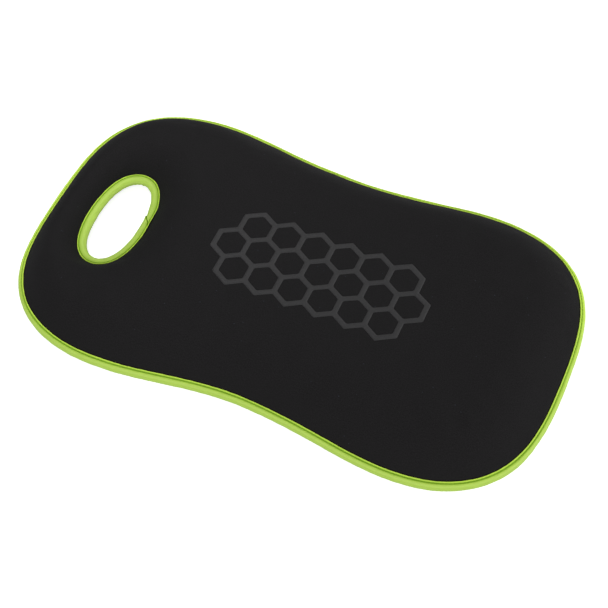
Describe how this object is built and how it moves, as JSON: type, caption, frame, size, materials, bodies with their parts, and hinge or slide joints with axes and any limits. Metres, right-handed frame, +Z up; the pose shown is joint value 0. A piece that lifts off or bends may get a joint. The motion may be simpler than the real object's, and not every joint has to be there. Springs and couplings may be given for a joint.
{
  "type": "kneeling pad",
  "caption": "Cushioned hourglass kneeling pad with an oval carrying hole near one end, a black stretch cover and lime taped edges.",
  "frame": {"origin": "middle of the footprint, on the ground plane under the pad", "axes": "+X along the pad away from the carrying hole, +Y across the pad, +Z up out of the kneeling face"},
  "size_m": [0.4506, 0.2625, 0.0345],
  "materials": {
    "cover_neoprene": "matt black knitted nylon face on neoprene, soft sheen at grazing angles",
    "base_fabric": "matt black woven base cloth with a fine grip texture",
    "comfort_foam": "cream slow-recovery polyurethane foam, open cell",
    "base_foam": "grey firm closed-cell foam, cut edges",
    "binding_tape": "lime knitted bias tape, soft satin, fine ribs",
    "sewing_thread": "lime polyester sewing thread",
    "print_film": "thin dark grey tonal transfer print, slightly smoother than the cloth"
  },
  "bodies": {
    "root": {"top_cover": "cover_neoprene", "base_cover": "base_fabric", "comfort_foam": "comfort_foam", "base_foam": "base_foam", "edge_binding": "binding_tape", "handle_binding": "binding_tape", "edge_needle_thread": "sewing_thread", "edge_bobbin_thread": "sewing_thread", "handle_needle_thread": "sewing_thread", "handle_bobbin_thread": "sewing_thread", "honeycomb_print": "print_film"}
  },
  "joints": []
}
